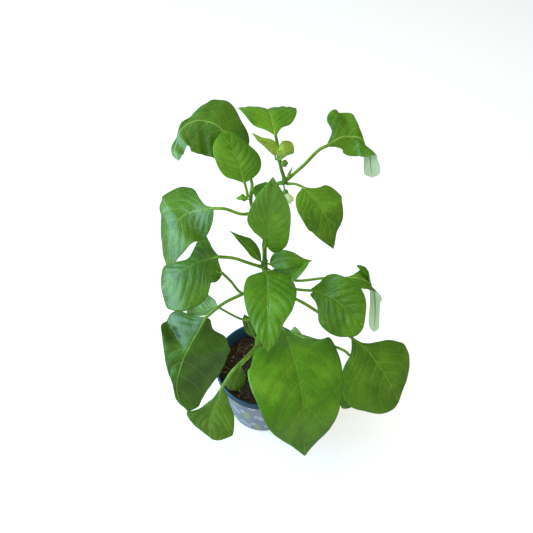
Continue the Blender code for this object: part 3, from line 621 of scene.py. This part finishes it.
def feed(made, inputs):
    """Gives a node its inputs: a socket is linked, anything else is a fixed value."""
    for key, value in inputs.items():
        if isinstance(value, bpy.types.NodeSocket):
            made.id_data.links.new(value, made.inputs[key])
        else:
            made.inputs[key].default_value = value


def add_node(tree, kind, inputs=None, out=0, stops=(), **settings):
    """Adds a node and gives one of its outputs, or all of them where out is None.

    stops are the (place, colour or grey) pairs of a colour ramp.
    """
    made = tree.nodes.new("ShaderNode" + kind)
    for key, value in settings.items():
        setattr(made, key, value)
    feed(made, inputs or {})
    if stops:
        elements = made.color_ramp.elements
        while len(elements) < len(stops):
            elements.new(0.5)
        for element, (place, colour) in zip(elements, stops):
            element.position = place
            element.color = colour if isinstance(colour, tuple) else (colour, colour, colour, 1)
    return made.outputs if out is None else made.outputs[out]


def new_material(name, **settings):
    """A material's shader with its fixed values set, and a function that adds nodes beside it."""
    mat = bpy.data.materials.new(name)
    mat.use_nodes = True
    shader = mat.node_tree.nodes["Principled BSDF"]
    feed(shader, {key.replace("_", " "): value for key, value in settings.items()})
    return mat, shader, functools.partial(add_node, mat.node_tree)


def grain_size(size):
    """Scale of a pattern on Object coordinates, from the size of one grain in mm."""
    return 1 / (size * MM)


CLOUD_SIZE, PAD_SIZE, SPECK_SIZE = 22.2, 6.67, 2.38     # mm across one on a blade
NET_CELL = 4.17         # mm across a cell of the net of fine veins
RIB_REACH = 1.15        # half the drawn width of the midrib at its foot
RIB_TAPER = 0.85        # what it loses by the tip
VEIN_REACH = 0.85       # the same two for a side vein
VEIN_TAPER = 0.62
NET_PALENESS, VEIN_PALENESS, RIB_PALENESS = 0.1, 0.34, 0.85


def side_vein_marks(add):
    """Distance in mm to the nearest side vein, and the share of the way to the margin."""
    marks = add("Attribute", out="Vector", attribute_name="vein")
    number, spacing, edge = add("SeparateXYZ", {0: marks}, out=None)
    off = number
    for operation, value in (("ADD", 0.5), ("FRACT", 0), ("SUBTRACT", 0.5), ("ABSOLUTE", 0)):
        off = add("Math", {0: off, 1: value}, operation=operation)
    return add("Math", {0: off, 1: spacing}, operation="MULTIPLY"), edge


def soft_line(add, off, reach):
    """1 on a line's middle, falling to 0 where the distance off it comes to reach."""
    past = add("Math", {0: off, 1: reach}, operation="DIVIDE")
    return add("Math", {0: 1.0, 1: past}, operation="SUBTRACT", use_clamp=True)


def vein_net(add, place, width):
    """The net of fine veins: 1 on a vein, 0 from width on, as a share of a cell."""
    net = add("TexVoronoi", {"Vector": place, "Scale": 1 / NET_CELL}, "Distance",
              feature="DISTANCE_TO_EDGE")
    return add("ValToRGB", {0: net}, stops=((0.0, 1.0), (width, 0.0)))


def leaf_material(name, deep, fresh, vein_tone, roughness=0.38, wax=0.2):
    """Living leaf under its wax: deep and fresh greens in soft clouds, pale fine-edged veins.

    The veins are drawn a little wider than they grow, so that they show.
    """
    mat, shader, add = new_material(name, Roughness=roughness, IOR=1.45,
                                    Coat_Weight=wax, Coat_Roughness=0.3)
    place = add("Attribute", out="Vector", attribute_name="place")
    across, _, share = add("SeparateXYZ", {0: place}, out=None)
    near, edge = side_vein_marks(add)
    spot = add("TexCoord", out="Object")
    clouds = add("TexNoise", {"Vector": spot, "Scale": grain_size(CLOUD_SIZE), "Detail": 3.0})
    pads = add("TexNoise", {"Vector": spot, "Scale": grain_size(PAD_SIZE), "Detail": 2.0})
    fine = add("TexNoise", {"Vector": spot, "Scale": grain_size(SPECK_SIZE), "Detail": 2.0})
    greens = add("ValToRGB", {0: clouds}, stops=((0.38, 0.0), (0.64, 1.0)))
    base = add("Mix", {0: greens, 6: tone(deep), 7: tone(fresh)}, 2, data_type="RGBA")

    off = add("Math", {0: across}, operation="ABSOLUTE")
    rib, side_veins = (
        soft_line(add, gap, add("Math", {0: run, 1: -taper, 2: reach}, operation="MULTIPLY_ADD"))
        for gap, run, taper, reach in ((off, share, RIB_TAPER, RIB_REACH),
                                       (near, edge, VEIN_TAPER, VEIN_REACH)))
    net_line = vein_net(add, place, 0.09)
    paleness = add("Math", {0: net_line, 1: NET_PALENESS}, operation="MULTIPLY")
    for line, strength in ((side_veins, VEIN_PALENESS), (rib, RIB_PALENESS)):
        part = add("Math", {0: line, 1: strength}, operation="MULTIPLY")
        paleness = add("Math", {0: paleness, 1: part}, operation="MAXIMUM")
    veined = add("Mix", {0: paleness, 6: base, 7: tone(vein_tone)}, 2, data_type="RGBA")
    specks = add("ValToRGB", {0: fine}, stops=((0.3, (0.9, 0.92, 0.88, 1)),
                                               (0.7, (1.08, 1.06, 1.1, 1))))
    colour = add("Mix", {0: 1.0, 6: veined, 7: specks}, 2, data_type="RGBA",
                 blend_type="MULTIPLY")

    # the net and the veins sink in, the skin between stands up in soft pads and wrinkles
    sunk = add("Math", {0: net_line, 1: side_veins}, operation="MAXIMUM")
    height = add("Math", {0: 1.0, 1: sunk}, operation="SUBTRACT")
    height = add("Math", {0: height, 1: 0.6}, operation="MULTIPLY")
    for lumps, strength in ((fine, 0.3), (pads, 2.4)):
        height = add("Math", {0: lumps, 1: strength, 2: height}, operation="MULTIPLY_ADD")
    normal = add("Bump", {"Height": height, "Strength": 0.5, "Distance": 0.5 * MM})
    feed(shader, {"Base Color": colour, "Normal": normal})
    return mat


def under_material(name, base_tone, vein_tone):
    """Leaf underside: paler and without wax, so it looks matt, with the veins standing out."""
    mat, shader, add = new_material(name, Roughness=0.62, IOR=1.4)
    place = add("Attribute", out="Vector", attribute_name="place")
    near, _ = side_vein_marks(add)
    part = add("Math", {0: vein_net(add, place, 0.1), 1: 0.3}, operation="MULTIPLY")
    paleness = add("Math", {0: part, 1: soft_line(add, near, 0.7)}, operation="MAXIMUM")
    colour = add("Mix", {0: paleness, 6: tone(base_tone), 7: tone(vein_tone)}, 2,
                 data_type="RGBA")
    normal = add("Bump", {"Height": paleness, "Strength": 0.4, "Distance": 0.4 * MM})
    feed(shader, {"Base Color": colour, "Normal": normal})
    return mat


def stalk_material(name, light, dark, streak=6.25, roughness=0.45):
    """Fresh green stalk: smooth skin with fine lengthwise streaks and a soft shine."""
    mat, shader, add = new_material(name, Roughness=roughness, IOR=1.42)
    spot = add("Mapping", {"Vector": add("TexCoord", out="Object"), "Scale": (1.0, 1.0, 0.35)})
    streaks = add("TexNoise", {"Vector": spot, "Scale": grain_size(streak), "Detail": 3.0})
    share = add("ValToRGB", {0: streaks}, stops=((0.35, 0.0), (0.65, 1.0)))
    colour = add("Mix", {0: share, 6: tone(dark), 7: tone(light)}, 2, data_type="RGBA")
    normal = add("Bump", {"Height": streaks, "Strength": 0.2, "Distance": 0.3 * MM})
    feed(shader, {"Base Color": colour, "Normal": normal})
    return mat


STALK = stalk_material("fresh_stalk", "#86AE3E", "#5F8E20")
# brighter than an underside's own pale green: painted light of the window shining through the thin
# blades
UNDER = under_material("leaf_underside_painted_backlight", "#C4DEB4", "#D8EAC8")
UNDER_YOUNG = under_material("young_leaf_underside", "#A8C878", "#C9DE9C")

# top of the blade, underside, and the leaves that take them: some greens differ by the leaf's age,
# some are darker copies of one green that are painted shade
LEAF_AGES_AND_PAINTED_SHADE = (
    # a copy of the new-leaf green below, about a tenth darker: painted shade on the leaves at the
    # right and at the back, away from the window
    (leaf_material("away_from_window_leaf_painted_shade", "#467808", "#5C9012", "#A0C458"), UNDER,
     "right_lower right_middle right_behind right_under left_behind top_right right_upper"),
    # a darker copy of the new-leaf green, with more wax: the darker green is painted shade that holds
    # back the window's light on these leaves, so that their shine shows
    (leaf_material("window_side_leaf_painted_shade_waxed", "#41700C", "#558614", "#A6C668", wax=0.28), UNDER,
     "left_middle left_upper top_left"),
    # darker again than the window-side copy: painted shade on the big lower leaf by the window
    (leaf_material("window_side_leaf_deeper_painted_shade_waxed", "#3A6406", "#4A7C0E", "#9CC06C", wax=0.45), UNDER,
     "left_lower_large"),
    (leaf_material("shaded_leaf_waxed", "#4C760E", "#668E20", "#A3BC6A"), UNDER,
     "left_low over_pot small_upright"),
    (leaf_material("turned_leaf_pale", "#7FAA5C", "#98C07C", "#BAD69C", roughness=0.5), UNDER,
     "left_pale right_low_pale"),
    (leaf_material("new_leaf_waxed", "#4E880C", "#659E16", "#A8CE58"), UNDER_YOUNG,
     "front_large centre_front left_sprig centre_behind top_back centre_narrow centre_right"
     " centre_right_low"),
    (leaf_material("tender_leaf_waxed", "#5A9616", "#72AA26", "#B0D468"), UNDER_YOUNG,
     "centre_upper top_young"),
    (leaf_material("youngest_leaf_soft", "#76A41C", "#9CC236", "#CFE080", roughness=0.5),
     UNDER_YOUNG, "bud_folded bud_curled awl"),
)
SKINS = {"leaf_" + name: [upper, lower, STALK] for upper, lower, names in LEAF_AGES_AND_PAINTED_SHADE
         for name in names.split()}

for name, leaf in LEAVES.items():
    make_leaf(name, leaf, SKINS[name])


# ---- stem

STEM_RIDGES = 5
RIDGE_DEPTH, STEM_LUMPS = 0.045, 0.05   # as shares of the radius
NODE_SWELL = 0.28       # share by which the stem thickens where a stalk leaves it
NODE_REACH = 3.4        # how far up and down the stem that shows
NODE_NEAR = 6           # joints farther than this belong to the other shoot
STEM_TUBE_SIDES = 20


def stem_shape(line):
    """Radius of a shoot: ridged along its length and swollen at each leaf joint."""
    swell = np.zeros(len(line))
    for leaf in LEAVES.values():
        gap = np.linalg.norm(line[:, :3] - vec(leaf["joint"]), axis=1)
        if gap.min() < NODE_NEAR:
            swell = np.maximum(swell, np.exp(-(gap / NODE_REACH) ** 2))

    def shape(a, s):
        i = min(int(s * (len(line) - 1)), len(line) - 1)
        ridge = RIDGE_DEPTH * math.cos(STEM_RIDGES * a + 2.0 * s)
        round_about = Vector((math.cos(a), math.sin(a), line[i, 2] * 0.12))
        return 1 + NODE_SWELL * swell[i] + ridge + STEM_LUMPS * noise.noise(round_about)
    return shape


def build_stem(mats):
    """Both shoots, and the small egg-shaped buds where they part."""
    bm = bmesh.new()
    for line in SHOOTS:
        tube_of(bm, line, STEM_TUBE_SIDES, stem_shape(line))
    for centre, r in SIDE_BUDS:
        made = bmesh.ops.create_uvsphere(bm, u_segments=14, v_segments=10, radius=r)["verts"]
        bmesh.ops.scale(bm, vec=(0.85, 0.85, 1.35), verts=made)
        bmesh.ops.translate(bm, vec=centre, verts=made)
    finish_piece(bm, "stem", mats, "stem")


build_stem([stalk_material("main_stem_skin", "#7BA040", "#567E22", streak=8.33)])


# ---- pot

def spun(bm, profile, steps=128):
    """A profile of (radius, height) turned about the upright axis into a closed body."""
    verts = [bm.verts.new((r, 0, z)) for r, z in profile]
    edges = [bm.edges.new(pair) for pair in zip(verts, verts[1:])]
    bmesh.ops.spin(bm, geom=verts + edges, cent=(0, 0, 0), axis=(0, 0, 1), dvec=(0, 0, 0),
                   angle=2 * math.pi, steps=steps, use_merge=True)
    bmesh.ops.remove_doubles(bm, verts=bm.verts, dist=MERGE)
    bmesh.ops.recalc_face_normals(bm, faces=bm.faces)


def rounded(profile, corners, radius, steps=4):
    """A profile whose numbered corners are swapped for short arcs."""
    out = []
    for i, p in enumerate(profile):
        if i not in corners:
            out.append(p)
            continue
        a, b, c = (vec(profile[k]) for k in (i - 1, i, i + 1))
        r = min(radius, 0.45 * np.linalg.norm(a - b), 0.45 * np.linalg.norm(c - b))
        start, end = b + unit(a - b) * r, b + unit(c - b) * r
        for k in range(steps + 1):
            t = k / steps
            out.append(tuple((1 - t) ** 2 * start + 2 * t * (1 - t) * b + t * t * end))
    return out


def pot_blue():
    """Polypropylene, injection moulded and glossy: dark petrol blue with a soft highlight."""
    mat, shader, add = new_material("moulded_pp_petrol", IOR=1.49)
    spot = add("TexCoord", out="Object")
    clouds = add("TexNoise", {"Vector": spot, "Scale": grain_size(11.1), "Detail": 4.0})
    colour = add("Mix", {0: clouds, 6: tone("#22475F"), 7: tone("#2F5B78")}, 2,
                 data_type="RGBA")
    gloss = add("ValToRGB", {0: clouds}, stops=((0.3, 0.28), (0.7, 0.4)))
    feed(shader, {"Base Color": colour, "Roughness": gloss})
    return mat


SLEEVE_R = 50           # the printed wall, half way up
MOTIFS_ROUND = 9
MOTIF_PITCH = 36.0      # mm from one row of motifs to the next
MOTIF_WIDTH = 2 * math.pi * SLEEVE_R / MOTIFS_ROUND
ROW_SHIFT = 0.37        # each row starts this share of a motif further round
# loops: middle, half width and height in mm, and the share of each that is open
LOOPS = (((-11, 3), (4.5, 5.5), 0.4), ((-4, -3), (5.0, 6.0), 0.42), ((4.5, 9), (3.2, 4.2), 0.1))
STROKE = ((10, -1), (4.5, 13))


def ellipse(add, px, py, centre, size, soft):
    """1 inside an ellipse, 0 outside; px and py are in mm, soft is the width of its edge."""
    squares = []
    for at, middle, half in zip((px, py), centre, size):
        off = add("Math", {0: at, 1: middle}, operation="SUBTRACT")
        share = add("Math", {0: off, 1: half}, operation="DIVIDE")
        squares.append(add("Math", {0: share, 1: share}, operation="MULTIPLY"))
    total = add("Math", {0: squares[0], 1: squares[1]}, operation="ADD")
    reach = add("Math", {0: total}, operation="SQRT")
    return add("MapRange", {"Value": reach, "From Min": 1 - soft, "From Max": 1 + soft,
                            "To Min": 1.0, "To Max": 0.0})


def pot_print():
    """Printed sleeve moulded on to the pot: hazy lavender blue with loose white loops in pairs
    and soft yellow-green strokes, as if dabbed on with a wet brush."""
    mat, shader, add = new_material("printed_pp_sleeve", Roughness=0.38, IOR=1.49)
    spot = add("TexCoord", out="Object")
    clouds = add("TexNoise", {"Vector": spot, "Scale": grain_size(16.7), "Detail": 3.0})
    colour = add("Mix", {0: clouds, 6: tone("#7A889E"), 7: tone("#94A1B1")}, 2,
                 data_type="RGBA")
    x, y, z = add("SeparateXYZ", {0: spot}, out=None)
    front = add("Math", {0: y, 1: -1.0}, operation="MULTIPLY")
    turn = add("Math", {0: x, 1: front}, operation="ARCTAN2")
    around = add("Math", {0: turn, 1: MOTIFS_ROUND / (2 * math.pi)}, operation="MULTIPLY")
    level = add("Math", {0: z, 1: 1 / (MOTIF_PITCH * MM)}, operation="MULTIPLY")
    row = add("Math", {0: level}, operation="FLOOR")
    around = add("Math", {0: row, 1: ROW_SHIFT, 2: around}, operation="MULTIPLY_ADD")
    # a wandering edge of up to 2 mm, as a brush leaves
    wander = add("TexNoise", {"Vector": spot, "Scale": grain_size(7.7), "Detail": 1.0})
    sway = add("Math", {0: wander, 1: 4.0, 2: -2.0}, operation="MULTIPLY_ADD")
    inside = []
    for run, pitch in ((around, MOTIF_WIDTH), (level, MOTIF_PITCH)):
        share = add("Math", {0: run}, operation="FRACT")
        off = add("Math", {0: share, 1: 0.5}, operation="SUBTRACT")
        inside.append(add("Math", {0: off, 1: pitch, 2: sway}, operation="MULTIPLY_ADD"))
    white = 0.0
    for centre, size, hole in LOOPS:
        outer = ellipse(add, *inside, centre, size, 0.12)
        inner = ellipse(add, *inside, centre, [hole * side for side in size], 0.3)
        loop = add("Math", {0: outer, 1: inner}, operation="SUBTRACT", use_clamp=True)
        white = add("Math", {0: loop, 1: white}, operation="MAXIMUM")
    for mark, strength, paint in ((ellipse(add, *inside, *STROKE, 0.35), 0.75, "#A9B77C"),
                                  (white, 0.85, "#C6D0DA")):
        cover = add("Math", {0: mark, 1: strength}, operation="MULTIPLY")
        colour = add("Mix", {0: cover, 6: colour, 7: tone(paint)}, 2, data_type="RGBA")
    feed(shader, {"Base Color": colour})
    return mat


def build_pot():
    """The pot as one turned shell: a deep plain rim band over a printed wall."""
    top_in = RIM_R - RIM_LIP
    wall_in = POT_SHOULDER_R - WALL
    profile = [(0, FLOOR), (POT_FOOT_R - WALL, FLOOR), (wall_in, BAND_FOOT),
               (top_in, POT_HEIGHT - 1), (top_in + 0.6, POT_HEIGHT), (RIM_R - 0.8, POT_HEIGHT),
               (RIM_R, POT_HEIGHT - 0.9), (RIM_R - 0.6, BAND_FOOT + 0.6),
               (RIM_R - 1.2, BAND_FOOT), (POT_SHOULDER_R, BAND_FOOT), (POT_FOOT_R, FOOT_BEVEL),
               (POT_FOOT_R - FOOT_BEVEL, 0), (0, 0)]
    bm = bmesh.new()
    spun(bm, rounded(profile, {1, 2, 4, 5, 6, 8, 9, 10, 11}, 1.4))
    for face in bm.faces:
        spot = face.calc_center_median()
        out = Vector((spot.x, spot.y, 0)).normalized()
        if spot.z < BAND_FOOT - 0.2 and (face.normal.dot(out) > 0.3 or spot.z < 1.5):
            face.material_index = 1
    finish_piece(bm, "pot", [pot_blue(), pot_print()], "pot")


build_pot()


# ---- compost

SOIL_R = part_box("soil")[1].x / MM - 0.3
SOIL_FOOT_R, SOIL_FOOT_Z = 44, 6
SOIL_RINGS, SOIL_TURNS = 56, 120
SOIL_DISH = 1.2         # how far the middle lies below the edge
SOIL_LUMPS = ((1.5, 0.11, 0), (0.9, 0.33, 7), (0.5, 0.8, 3))  # height, steps to a mm, seed


def peat():
    """Peat compost, damp and open: dark brown crumbs that barely shine."""
    mat, shader, add = new_material("peat_compost", Roughness=0.92, IOR=1.4)
    spot = add("TexCoord", out="Object")
    crumbs = add("TexVoronoi", {"Vector": spot, "Scale": grain_size(1.92)}, "Distance")
    clouds = add("TexNoise", {"Vector": spot, "Scale": grain_size(4.17), "Detail": 6.0})
    colour = add("ValToRGB", {0: clouds}, stops=((0.3, tone("#1C130C")), (0.5, tone("#3A291B")),
                                                 (0.72, tone("#5C4430"))))
    height = add("Math", {0: crumbs, 1: clouds}, operation="ADD")
    normal = add("Bump", {"Height": height, "Strength": 0.9, "Distance": 1.2 * MM})
    feed(shader, {"Base Color": colour, "Normal": normal})
    return mat


def grain(name, light, dark, roughness):
    """Loose grains: each a little lighter or darker, with a rough broken face."""
    mat, shader, add = new_material(name, Roughness=roughness, IOR=1.45)
    spot = add("TexCoord", out="Object")
    clouds = add("TexNoise", {"Vector": spot, "Scale": grain_size(1.43), "Detail": 3.0})
    colour = add("Mix", {0: clouds, 6: tone(dark), 7: tone(light)}, 2, data_type="RGBA")
    normal = add("Bump", {"Height": clouds, "Strength": 0.6, "Distance": 0.4 * MM})
    feed(shader, {"Base Color": colour, "Normal": normal})
    return mat


def soil_level(x, y):
    """Height of the compost's surface: a little higher at the wall, lumpy all over."""
    r = math.hypot(x, y)
    lumps = sum(height * noise.noise(Vector((x * scale, y * scale, seed)))
                for height, scale, seed in SOIL_LUMPS)
    edge = max(0.0, (r - 20) / 34)
    return SOIL_TOP + SOIL_DISH * (edge - 1) + lumps * min(1.0, (53.5 - r) / 4 + 0.3)


def build_soil():
    """The block of compost, lumpy above and tapered to a flat foot."""
    bm = bmesh.new()
    spots = np.zeros((SOIL_RINGS + 3, SOIL_TURNS + 1, 3))
    for j, a in enumerate(np.linspace(0, 2 * math.pi, SOIL_TURNS + 1)):
        for i in range(SOIL_RINGS + 1):
            r = SOIL_R * i / SOIL_RINGS
            x, y = r * math.cos(a), r * math.sin(a)
            spots[i, j] = (x, y, soil_level(x, y))
        spots[-2, j] = (SOIL_FOOT_R * math.cos(a), SOIL_FOOT_R * math.sin(a), SOIL_FOOT_Z)
        spots[-1, j] = (0, 0, SOIL_FOOT_Z)
    bmesh.ops.remove_doubles(bm, verts=sheet_of(bm, spots), dist=MERGE)
    bmesh.ops.recalc_face_normals(bm, faces=bm.faces)
    finish_piece(bm, "soil", [peat()], "soil")


def scatter(name, mat, count, seed, size, squat=(1, 1, 0.7), shape="ball"):
    """Loose bits lying on the compost, each its own size and turn."""
    draw = np.random.default_rng(seed)
    bm = bmesh.new()
    for _ in range(count):
        r = (SOIL_R - 2) * math.sqrt(draw.random())
        a = draw.random() * 2 * math.pi
        x, y = r * math.cos(a), r * math.sin(a)
        s = size[0] + (size[1] - size[0]) * draw.random() ** 2
        if shape == "ball":
            made = bmesh.ops.create_icosphere(bm, subdivisions=1, radius=s)["verts"]
        elif shape == "chip":
            made = bmesh.ops.create_cube(bm, size=s)["verts"]
        else:
            made = bmesh.ops.create_cone(bm, segments=4, radius1=0.16, radius2=0.1, depth=s,
                                         cap_ends=True)["verts"]
        for v in made:
            v.co *= 1 + 0.3 * (draw.random() - 0.5)
        stretch = Vector(squat) * (1 + 0.3 * (draw.random() - 0.5))
        bmesh.ops.scale(bm, vec=stretch, verts=made)
        flat, spread = (math.pi / 2, 0.35) if shape == "fibre" else (0, 0.6)
        tip = flat + spread * (draw.random() - 0.5)
        turn = Matrix.Rotation(draw.random() * 6.28, 3, "Z") @ Matrix.Rotation(tip, 3, "Y")
        bmesh.ops.rotate(bm, matrix=turn, verts=made)
        bmesh.ops.translate(bm, vec=(x, y, soil_level(x, y) + 0.15 * s), verts=made)
    finish_piece(bm, name, [mat], smooth_faces=False)


build_soil()
scatter("peat_crumbs", grain("peat_crumb", "#4A3524", "#20160E", 0.95), 900, 11, (0.5, 2.2))
scatter("bark_bits", grain("composted_bark", "#7A5A3A", "#3B2818", 0.85), 160, 12, (1.5, 5.0),
        (1, 0.5, 0.3), "chip")
scatter("perlite", grain("expanded_perlite", "#E0D6C2", "#A89878", 0.8), 110, 13, (0.4, 1.2))
scatter("peat_fibres", grain("dry_root_fibre", "#A08660", "#6B5238", 0.85), 120, 14, (5, 14),
        (1, 1, 1), "fibre")


# ---- buds and flower

BUD_ROWS, BUD_SIDES = 30, 30
LOBES = 5


def build_bud(name, joint, line, mat, depth=0.12):
    """A bud, cup or petal ring: a short closed body with five lobes that deepen to its tip."""
    bm = bmesh.new()
    points = [(*p, r) for p, r in line]
    if joint:
        start, _ = stem_exit(vec(joint), line[0][0])
        points = [(*start, line[0][1])] + points
    tube_of(bm, smooth(points, np.linspace(0, 1, BUD_ROWS)), BUD_SIDES,
            lambda a, s: 1 + depth * s * math.cos(LOBES * a))
    finish_piece(bm, name, [mat], name)


bud_green = stalk_material("bud_skin", "#7A9E3C", "#4A7420", streak=3.85)
petal = stalk_material("petal_white_green", "#E2EBCB", "#BFD3A0", streak=3.33, roughness=0.55)
build_bud("bud_top", TOP_BUD_JOINT, TOP_BUD, bud_green)
build_bud("flower_cup", FLOWER_JOINT, FLOWER_CUP, bud_green)
build_bud("flower_petals", None, FLOWER_PETALS, petal, 0.3)


# ---- floor, light and camera

FLOOR_SIZE = 6
# name, place and aim in metres, width, watts, colour, and whether it shows in reflections
LAMPS = (
    ("window", (-1.65, 0.0, 0.95), (0, 0, 0.25), 1.7, 52, "#BCE4FF", True),
    ("overhead", (0.1, -0.1, 1.9), (0, 0, 0.2), 1.2, 15, "#FFF6DC", False),
    ("fill", (1.4, -1.2, 1.0), (0, 0, 0.25), 1.4, 2, "#FFF6E8", False),
)
CAMERA_PLACE = (0.0048, -0.358, 0.7425)
CAMERA_TILT = math.radians(38.9)
LENS, SENSOR = 38.57, 36


def placed(data):
    """A new object for a mesh, lamp or camera, in the scene."""
    obj = bpy.data.objects.new(data.name, data)
    bpy.context.scene.collection.objects.link(obj)
    return obj


def build_stage():
    """White floor, a wide cool window on the left, soft light from above and a faint fill."""
    mat, *_ = new_material("matt_white_floor", Roughness=0.9, Emission_Strength=0.5,
                             Base_Color=tone("#E6E4E0"), Emission_Color=tone("#FFFFFF"))
    bm = bmesh.new()
    bmesh.ops.create_grid(bm, x_segments=1, y_segments=1, size=FLOOR_SIZE)
    mesh = bpy.data.meshes.new("floor")
    bm.to_mesh(mesh)
    bm.free()
    mesh.materials.append(mat)
    floor = placed(mesh)
    floor.visible_glossy = False

    world = bpy.data.worlds.new("studio")
    bpy.context.scene.world = world
    world.use_nodes = True
    feed(world.node_tree.nodes["Background"], {"Color": tone("#FFFFFF"), "Strength": 0.2})

    for name, place, aim, size, watts, colour, shines in LAMPS:
        lamp = bpy.data.lights.new(name, "AREA")
        lamp.size = size
        lamp.energy = watts
        lamp.color = tone(colour)[:3]
        obj = placed(lamp)
        obj.location = place
        obj.rotation_euler = (Vector(aim) - Vector(place)).to_track_quat("-Z", "Y").to_euler()
        obj.visible_glossy = shines


def build_camera():
    """The camera, in front of the plant and above it, looking down."""
    camera = bpy.data.cameras.new("camera")
    camera.sensor_width = SENSOR
    camera.lens = LENS
    camera.clip_start = 0.01
    obj = placed(camera)
    obj.location = CAMERA_PLACE
    obj.rotation_euler = (CAMERA_TILT, 0, 0)
    bpy.context.scene.camera = obj


build_stage()
build_camera()
bpy.context.scene.view_settings.view_transform = "Standard"
